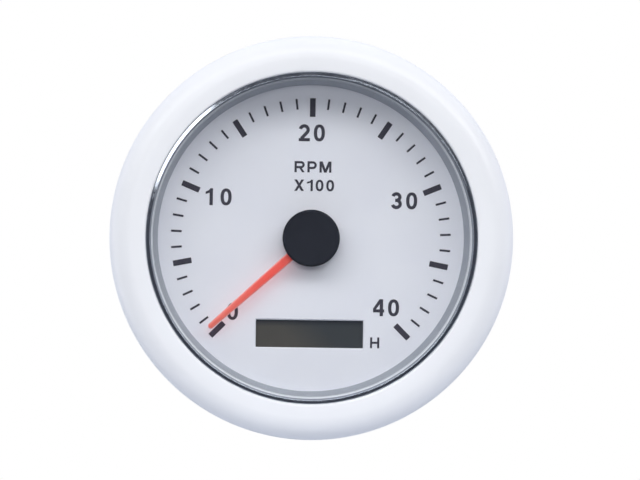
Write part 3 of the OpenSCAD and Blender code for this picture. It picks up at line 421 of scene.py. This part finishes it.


# ---------------------------------------------------------------- pointer and cap
# A thin red acrylic blade, pressed on a bush, with its long edges bevelled and painted paler, a painted glow of
# light through the edges.
# A matt black cap covers the hub and has a notch for the blade.

def from_axis(mat):
    """The distance from the dial's axis, in metres."""
    place = node(mat, "ShaderNodeSeparateXYZ", {"Vector": node(mat, "ShaderNodeTexCoord").outputs["Object"]})
    flat = node(mat, "ShaderNodeCombineXYZ", {"X": place.outputs["X"], "Z": place.outputs["Z"]})
    return node(mat, "ShaderNodeVectorMath", {0: flat}, operation="LENGTH").outputs["Value"]


# The scale spans 135 degrees either side of the top, and the pointer rests 3 degrees past the 0 mark.
pointer_angle = 90 + 135 - 3
pointer_z0, pointer_z1, blade_bevel, bush_r, boss_r = -0.1, 0.7, 0.4, 1.62, 5.4
# The blade's half widths at root and round tip, and the two radii between which its red grows paler.
blade_length, blade_root, blade_tip, deep_until, pale_from = 32.4, 1.25, 0.7, 14.3, 28.6
tip_x, boss_top = blade_length - blade_tip, pointer_z1 - 0.02
bm = bmesh.new()
blade = [(0, -blade_root), (tip_x, -blade_tip)]
blade += [(tip_x + blade_tip * cos(radians(a)), blade_tip * sin(radians(a))) for a in range(-75, 90, 15)]
blade += [(tip_x, blade_tip), (0, blade_root)]
bm.faces.new([bm.verts.new(mm(x, y, pointer_z0)) for x, y in blade])
raised = bmesh.ops.extrude_face_region(bm, geom=bm.faces[:])["geom"]
bmesh.ops.translate(bm, vec=mm(0, 0, pointer_z1 - pointer_z0),
                    verts=[g for g in raised if isinstance(g, bmesh.types.BMVert)])
bmesh.ops.remove_doubles(bm, verts=bm.verts, dist=1e-7)
bm.normal_update()
front = [e for e in bm.edges if all(-v.co.y * 1000 > pointer_z1 - 0.01 for v in e.verts)]
bmesh.ops.bevel(bm, geom=front, offset=blade_bevel / 1000, segments=2, profile=0.5,
                affect="EDGES", material=-1)
turn(bm, [(bush_r, pointer_z0), (boss_r, pointer_z0), (boss_r, boss_top), (bush_r, boss_top)], 64, ease=0.1)
bmesh.ops.rotate(bm, verts=bm.verts, cent=(0, 0, 0),
                 matrix=Matrix.Rotation(-radians(pointer_angle), 3, "Y"))
pointer = keep("pointer_blade", bm)
# Clear red, deeper near the hub than at the tip; its bevels are painted paler, a painted glow where light comes
# through the edges. Light that passes it turns pink.
pointer_red = blank("tinted_red_acrylic")
tipward = node(pointer_red, "ShaderNodeMapRange", {
    "Value": from_axis(pointer_red), "From Min": deep_until / 1000, "From Max": pale_from / 1000})
core = node(pointer_red, "ShaderNodeMix", {
    0: tipward, 6: "#f94e41", 7: "#f87769"}, data_type="RGBA").outputs[2]
facing = node(pointer_red, "ShaderNodeSeparateXYZ", {
    "Vector": node(pointer_red, "ShaderNodeNewGeometry").outputs["Normal"]}).outputs["Y"]
bevel_painted_glow = node(pointer_red, "ShaderNodeMapRange", {"Value": facing, "From Min": -0.98, "From Max": -0.75})
red = node(pointer_red, "ShaderNodeBsdfPrincipled", {
    "Base Color": node(pointer_red, "ShaderNodeMix", {
        0: bevel_painted_glow, 6: core, 7: "#ffb0ab"}, data_type="RGBA").outputs[2],
    "Roughness": rubbed(pointer_red, 0.6, 2, 0.3, 0.4), "IOR": 1.49, "Transmission Weight": 0.05})
tinted = node(pointer_red, "ShaderNodeMixShader", {
    0: node(pointer_red, "ShaderNodeLightPath").outputs["Is Shadow Ray"], 1: red,
    2: node(pointer_red, "ShaderNodeBsdfTransparent", {"Color": "#ffc8c4"})})
node(pointer_red, "ShaderNodeOutputMaterial", {"Surface": tinted})
dress(pointer_red, pointer)
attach(pointer, "pointer")
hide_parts("pointer")

# Moulded ABS for the cap: blue-black and matt, it takes hardly any light.
cap_black = moulded("moulded_matt_black_abs", "#1b1e28", "#1f222c", 0.6, 0.5, 0.006, edge=0.05, sheen=0.1)
dress(cap_black, "hub_cap")


# ---------------------------------------------------------------- glass and seal
# A flat soda-lime glass disc with eased edges, in a channel of soft rubber.
# The seal's lip laps the front of the glass and shows as a narrow mid-grey band.

lens_r, lens_z0, lens_z1 = 40, 3.5, 6.0
bm = bmesh.new()
turn(bm, [(0, lens_z0), (lens_r, lens_z0), (lens_r, lens_z1), (0, lens_z1)], 192, closed=False, ease=0.3)
lens = keep("glass_disc", bm)
# Float glass: clear, with a slow ripple; it lets the lamps' light straight through.
float_glass = blank("clear_float_glass")
pane = node(float_glass, "ShaderNodeBsdfPrincipled", {
    "Base Color": "#fdfdfd", "Roughness": 0.0, "IOR": 1.5, "Transmission Weight": 1.0,
    "Normal": grained(float_glass, 30, 1, 0.02, 0.15)})
ray = node(float_glass, "ShaderNodeLightPath")
passing = node(float_glass, "ShaderNodeMath", {
    0: ray.outputs["Is Shadow Ray"], 1: ray.outputs["Is Diffuse Ray"]}, operation="MAXIMUM")
see = node(float_glass, "ShaderNodeMixShader", {
    0: passing, 1: pane, 2: node(float_glass, "ShaderNodeBsdfTransparent", {"Color": "#fafbfa"})})
node(float_glass, "ShaderNodeOutputMaterial", {"Surface": see})
dress(float_glass, lens)
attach(lens, "housing")
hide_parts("lens")

seal_in, seal_out, seal_lip_r, channel_r, seal_z0, seal_z1 = 38.6, 41.1, 38.0, 40.1, 2.7, 6.35
bm = bmesh.new()
turn(bm, [(seal_in, seal_z0), (seal_out, seal_z0), (seal_out, seal_z1), (seal_lip_r, seal_z1),
          (seal_lip_r, lens_z1), (channel_r, lens_z1), (channel_r, lens_z0), (seal_in, lens_z0)],
     240, ease=0.08)
seal = keep("glass_seal", bm)
# Mid grey and satin; the first 0.1 mm of the lip that lies on the glass is painted pale, a painted highlight
# that is part of the thin bright line.
seal_rubber = blank("moulded_grey_rubber")
seal_painted_highlight = node(seal_rubber, "ShaderNodeMapRange", {
    "Value": from_axis(seal_rubber), "From Min": (seal_lip_r + 0.09) / 1000,
    "From Max": (seal_lip_r + 0.13) / 1000})
grey = clouded(seal_rubber, 14, 3, "#848a96", "#8c929e")
rubber = node(seal_rubber, "ShaderNodeBsdfPrincipled", {
    "Base Color": node(seal_rubber, "ShaderNodeMix", {
        0: seal_painted_highlight, 6: "#ebeff6", 7: grey}, data_type="RGBA").outputs[2],
    "Roughness": rubbed(seal_rubber, 0.9, 2, 0.5, 0.6), "Specular IOR Level": 0.5, "IOR": 1.5})
node(seal_rubber, "ShaderNodeOutputMaterial", {"Surface": rubber})
dress(seal_rubber, seal)
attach(seal, "housing")
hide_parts("lens_seal")


# ---------------------------------------------------------------- trim ring
# Stainless, mirror polished: its foot lies on the seal and its face leans slightly outwards, so it
# mirrors the dark room but for one bright patch. A fine burnished line goes round the face.

bead_r, bead_top, round_r, lean, flange_z, arc_steps = 38.47, 8.45, 0.08, radians(9.6), 7.0, 40
bead = [(bead_r, seal_z1)]
for t in range(arc_steps + 1):
    a = pi - (pi / 2 + lean) * t / arc_steps
    bead.append((bead_r + round_r + round_r * cos(a), bead_top - round_r + round_r * sin(a)))
# The face: a plain width, the two steeper facets of the burnished line, and the rest, each with its slope.
for across_face, slope_there in ((0.16, lean), (0.035, radians(12.0)), (0.035, radians(12.6)), (0.444, lean)):
    bead.append((bead[-1][0] + across_face, bead[-1][1] - across_face * tan(slope_there)))
corner = (bead[-1][0] - round_r * sin(lean), bead[-1][1] - round_r * cos(lean))
for t in range(1, arc_steps + 1):
    a = (pi / 2 - lean) * (1 - t / arc_steps)
    bead.append((corner[0] + round_r * cos(a), corner[1] + round_r * sin(a)))
bead += [(bead[-1][0], flange_z), (seal_out, flange_z), (seal_out, seal_z1)]
bm = bmesh.new()
turn(bm, bead, 300)
trim = keep("trim_bead", bm, 2.8)
# Polished stainless: a cold, slightly blue mirror.
mirror = blank("polished_stainless")
shine = node(mirror, "ShaderNodeBsdfPrincipled", {
    "Base Color": clouded(mirror, 5, 2, "#bec5d0", "#b8bfca"), "Metallic": 1.0,
    "Roughness": rubbed(mirror, 0.8, 3, 0.07, 0.12)})
node(mirror, "ShaderNodeOutputMaterial", {"Surface": shine})
dress(mirror, trim)
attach(trim, "housing")
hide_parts("trim_ring")


# ---------------------------------------------------------------- bezel
# A white UV-stable ABS ring, moulded in one piece, that snaps over the case's flange.
# Polished mould, so it is glossy, with the faint waviness that moulded gloss plastic has.

opening_r, lip_round, lip_top, crown_r, crown_z, shoulder_z, bezel_r = 39.4, 0.5, 9.15, 42.8, 9.2, 4.1, 48.0
foot_z, edge_round, snap_r, snap_z, hollow_r, hollow_z = 1.5, 0.4, 44.6, 2.4, 45.4, 6.9
skirt_r, skirt_out, skirt_end = 41.2, 42.8, 3.5
inner_r, dome_w, dome_h = opening_r + lip_round, bezel_r - crown_r, crown_z - shoulder_z
outline = [(inner_r + lip_round * cos(radians(a)), lip_top - lip_round + lip_round * sin(radians(a)))
           for a in range(180, 89, -10)]
outline += [(inner_r + (crown_r - inner_r) * t / 10, crown_z - (crown_z - lip_top) * (1 - t / 10) ** 2)
            for t in range(1, 11)]
outline += [(crown_r + dome_w * sin(radians(a)), shoulder_z + dome_h * cos(radians(a))) for a in range(5, 91, 5)]
outline += [(bezel_r, foot_z + 0.5), (bezel_r - 0.1, foot_z + 0.2), (bezel_r - edge_round, foot_z),
            (snap_r, foot_z), (snap_r, snap_z), (hollow_r, snap_z), (hollow_r, hollow_z),
            (skirt_out, hollow_z), (skirt_out, skirt_end), (skirt_r, skirt_end), (skirt_r, flange_z),
            (opening_r, flange_z)]
bm = bmesh.new()
turn(bm, outline, 300)
bezel = keep("bezel_ring", bm, 38, flats=False)
# Gloss ABS: clean white, its shine broken a little by 1.2 mm spots and 7 mm waves.
bezel_abs = blank("moulded_white_abs")
gloss_white = node(bezel_abs, "ShaderNodeBsdfPrincipled", {
    "Base Color": clouded(bezel_abs, 16, 2, "#eceef3", "#eef0f5"),
    "Roughness": rubbed(bezel_abs, 1.2, 3, 0.3, 0.36), "IOR": 1.53,
    "Normal": grained(bezel_abs, 7, 2, 0.03, 0.2)})
node(bezel_abs, "ShaderNodeOutputMaterial", {"Surface": gloss_white})
dress(bezel_abs, bezel)
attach(bezel, "housing")
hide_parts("bezel")


# ---------------------------------------------------------------- gasket
# A ring of black closed-cell rubber foam between the bezel and the panel.
# It is die-cut from sheet: dead matt, with fine open pores.

gasket_in, gasket_out, gasket_t = 42.75, 47.2, 1.5
bm = bmesh.new()
turn(bm, [(gasket_in, 0), (gasket_out, 0), (gasket_out, gasket_t), (gasket_in, gasket_t)], 192, ease=0.15)
gasket = keep("gasket_ring", bm)
foam = moulded("closed_cell_foam", "#1b1b1c", "#222223", 0.9, 0.35, 0.06, edge=0.02, sheen=0.2)
dress(foam, gasket)
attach(gasket, "housing")
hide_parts("panel_gasket")


# ---------------------------------------------------------------- terminals, button and vent
# The terminal block is moulded like the case; the four blades are stamped, tinned brass.
# The calibration button is a harder, greyer moulding, and the vent plug a push-in rubber one.

dress(case_nylon, "terminal_block")
# Acetal for the button: mid grey and satin.
dress(moulded("moulded_grey_acetal", "#55575b", "#5d5f63", 0.42, 0.5, 0.015), "calibration_button")
# Rubber for the vent: near black and dull.
dress(moulded("moulded_vent_rubber", "#2c2d2f", "#343537", 0.7, 0.5, 0.02), "vent_plug")


# ---------------------------------------------------------------- clamp bracket, washers and nuts
# A bent steel strap whose feet press on the panel from behind, zinc plated.
# Two knurled brass thumb nuts draw it up on the studs, over plain washers.

dress(plated, "clamp_bracket", "clamp_washers")
dress(brass, "clamp_nut_left", "clamp_nut_right")


# ---------------------------------------------------------------- studio
# A wide overhead panel, a front softbox, a small upper-left one for the patch on the trim ring and a
# strip for its line. A pale floor, and a white surround that metal sees behind the object only.

floor_r, floor_centre, lamp_away, camera_away = 0.2, (0, 0.1, -0.085), 1.2, 1.6
floor = bpy.data.meshes.new("floor")
bm = bmesh.new()
bmesh.ops.create_circle(bm, cap_ends=True, segments=128, radius=floor_r, matrix=Matrix.Translation(floor_centre))
bm.to_mesh(floor)
bm.free()
floor = bpy.data.objects.new("floor", floor)
bpy.context.scene.collection.objects.link(floor)
pale = blank("pale_floor")
card = node(pale, "ShaderNodeBsdfPrincipled", {
    "Base Color": clouded(pale, 40, 2, "#cfd4df", "#d3d8e2"), "Roughness": 0.8})
node(pale, "ShaderNodeOutputMaterial", {"Surface": card})
floor.data.materials.append(pale)


def panel(name, centre, back, across, size, glow):
    """An area lamp of radiance glow; its back points along back, and its first side lies along across."""
    lamp = bpy.data.lights.new(name, "AREA")
    lamp.shape, lamp.size, lamp.size_y = "RECTANGLE", *size
    lamp.energy = glow * pi * size[0] * size[1]
    made = bpy.data.objects.new(name, lamp)
    bpy.context.scene.collection.objects.link(made)
    back, across = Vector(back), Vector(across)
    axes = [across.normalized(), back.cross(across).normalized(), back.normalized()]
    made.matrix_world = Matrix.Translation(centre) @ Matrix(axes).transposed().to_4x4()


def softbox(name, round_dial, off_axis, size, glow):
    """A lamp in front, at an angle round the dial from 3 o'clock and an angle off its axis."""
    round_dial, off_axis = radians(round_dial), radians(off_axis)
    towards = Vector((cos(round_dial) * sin(off_axis), -cos(off_axis), sin(round_dial) * sin(off_axis)))
    panel(name, towards * lamp_away, towards, (-sin(round_dial), 0, cos(round_dial)), size, glow)


panel("overhead_panel", (0.2, -0.76, 0.6), (0, 0, 1), (1, 0, 0), (2.8, 0.6), 3.65)
panel("overhead_fill", (0.2, -0.23, 0.6), (0, 0, 1), (1, 0, 0), (2.8, 0.3), 0.35)
above = radians(11)
panel("front_softbox", (0, -lamp_away * cos(above), lamp_away * sin(above)), (0, -cos(above), sin(above)),
      (1, 0, 0), (0.42, 0.2), 8.5)
softbox("upper_left_softbox", 142.7, 21.5, (0.26, 0.17), 4)
softbox("upper_right_strip", 48, 27, (0.6, 0.05), 2.4)
for name, x, glow in (("left_fill", -1.15, 1.1), ("right_fill", 1.15, 0.8)):
    panel(name, (x, 0, -0.3), (x, 0, -0.3), (0, 1, 0), (0.8, 0.8), glow)

# The surround is plain white to the camera. As light, and in metal and glass, it is dim in front of
# the object and bright behind it.
world = bpy.data.worlds.new("white_surround")
bpy.context.scene.world = world
world.use_nodes = True
world.node_tree.nodes.clear()
ray = node(world, "ShaderNodeLightPath")
behind = node(world, "ShaderNodeSeparateXYZ", {
    "Vector": node(world, "ShaderNodeTexCoord").outputs["Generated"]}).outputs["Y"]
lighting = node(world, "ShaderNodeMapRange", {
    "Value": behind, "From Min": -0.2, "From Max": 0.2, "To Min": 0.15, "To Max": 0.9})
lit = node(world, "ShaderNodeBackground", {"Color": "#f4f7ff", "Strength": lighting})
mirroring = node(world, "ShaderNodeMapRange", {
    "Value": behind, "From Min": -0.05, "From Max": 0.1, "To Min": 0.1, "To Max": 1.0})
mirrored = node(world, "ShaderNodeBackground", {"Color": "#e8edff", "Strength": mirroring})
plain = node(world, "ShaderNodeBackground", {"Color": "#ffffff", "Strength": 1.0})
bent = node(world, "ShaderNodeMath", {
    0: ray.outputs["Is Glossy Ray"], 1: ray.outputs["Is Transmission Ray"]}, operation="MAXIMUM")
unseen = node(world, "ShaderNodeMixShader", {0: bent, 1: lit, 2: mirrored})
surround = node(world, "ShaderNodeMixShader", {0: ray.outputs["Is Camera Ray"], 1: unseen, 2: plain})
node(world, "ShaderNodeOutputWorld", {"Surface": surround})

# The camera stands 1.6 m away, 1.4 degrees to the left of the dial's axis, and is tilted by 0.86 degrees.
lens_camera = bpy.data.cameras.new("camera")
lens_camera.sensor_width, lens_camera.lens = 36, 377.6
lens_camera.clip_start, lens_camera.clip_end = 0.01, 20
camera = bpy.data.objects.new("camera", lens_camera)
leftward = radians(1.4)
camera.location = (0.00215 - camera_away * sin(leftward), -camera_away * cos(leftward), -0.0004)
camera.rotation_euler = (radians(90), radians(-0.86), -leftward)
bpy.context.scene.collection.objects.link(camera)
bpy.context.scene.camera = camera
bpy.context.scene.view_settings.view_transform = "Standard"
